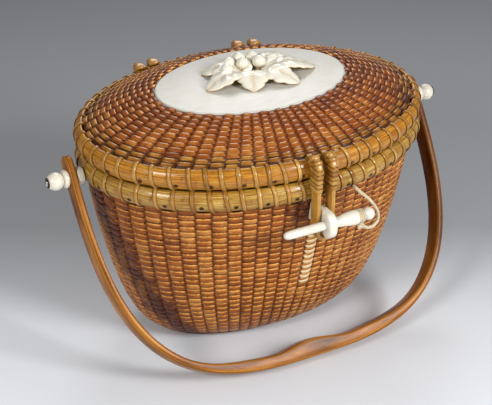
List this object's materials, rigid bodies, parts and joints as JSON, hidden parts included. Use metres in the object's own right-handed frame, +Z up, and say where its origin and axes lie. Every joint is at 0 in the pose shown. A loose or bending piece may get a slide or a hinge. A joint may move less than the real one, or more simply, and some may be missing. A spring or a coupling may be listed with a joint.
{
  "type": "nantucket basket",
  "caption": "Oval lidded basket purse with a swing handle, hinged lid with an oval plaque, and a hasp closed by a turned peg on a cord.",
  "frame": {"origin": "centre of the underside of the wooden base board, on the surface that the basket stands on", "axes": "+X along the basket's length towards the end that the peg's ball points to, -Y towards the clasp, +Z up"},
  "size_m": [0.3082, 0.2141, 0.1888],
  "materials": {
    "body_cane": "varnished woven cane, honey brown",
    "lid_cane": "varnished woven cane, red brown",
    "rim_rattan": "varnished half-round rattan, golden",
    "hinge_rattan": "varnished cane-wrapped rattan",
    "base_wood": "varnished wood, brown",
    "handle_wood": "varnished bent wood, red brown",
    "bone": "polished bone, satin cream white",
    "brass": "dark brass",
    "silver": "bright rivet metal",
    "cotton": "cream cotton cord"
  },
  "bodies": {
    "basket": {"base_board": "base_wood", "body_weave": "body_cane", "body_rim_outer": "rim_rattan", "body_rim_inner": "rim_rattan", "staple": "bone", "cord_nail": "brass", "hinge_ear_left": "hinge_rattan", "hinge_ear_right": "hinge_rattan", "hinge_rod_left": "brass", "hinge_rod_right": "brass", "knob_left": "bone", "knob_right": "bone", "knob_washer_left": "bone", "knob_washer_right": "bone", "handle_pin_left": "silver", "handle_pin_right": "silver", "rivet_disc_left": "brass", "rivet_disc_right": "brass", "peg_cord": "cotton"},
    "lid": {"lid_weave": "lid_cane", "lid_board": "base_wood", "lid_rim_outer": "rim_rattan", "lid_rim_inner": "rim_rattan", "plaque": "bone", "carved_sprig": "bone", "hasp": "rim_rattan", "hinge_strap_left_inner": "hinge_rattan", "hinge_strap_left_outer": "hinge_rattan", "hinge_strap_right_inner": "hinge_rattan", "hinge_strap_right_outer": "hinge_rattan"},
    "handle": {"handle": "handle_wood"},
    "peg": {"peg": "bone", "cord_knot": "cotton"}
  },
  "joints": [
    {"name": "lid_hinge", "type": "hinge", "parent": "basket", "child": "lid", "pos_m": [0, 0.096, 0.1465], "axis": [-1, 0, 0], "range_deg": [0, 100], "deforming": ["hasp"]},
    {"name": "handle_swing", "type": "hinge", "parent": "basket", "child": "handle", "pos_m": [0, 0, 0.1367], "axis": [-1, 0, 0], "range_deg": [0, 289]},
    {"name": "peg_slide", "type": "slide", "parent": "basket", "child": "peg", "axis": [1, 0, 0], "range_m": [0, 0.045], "deforming": ["peg_cord"]}
  ]
}
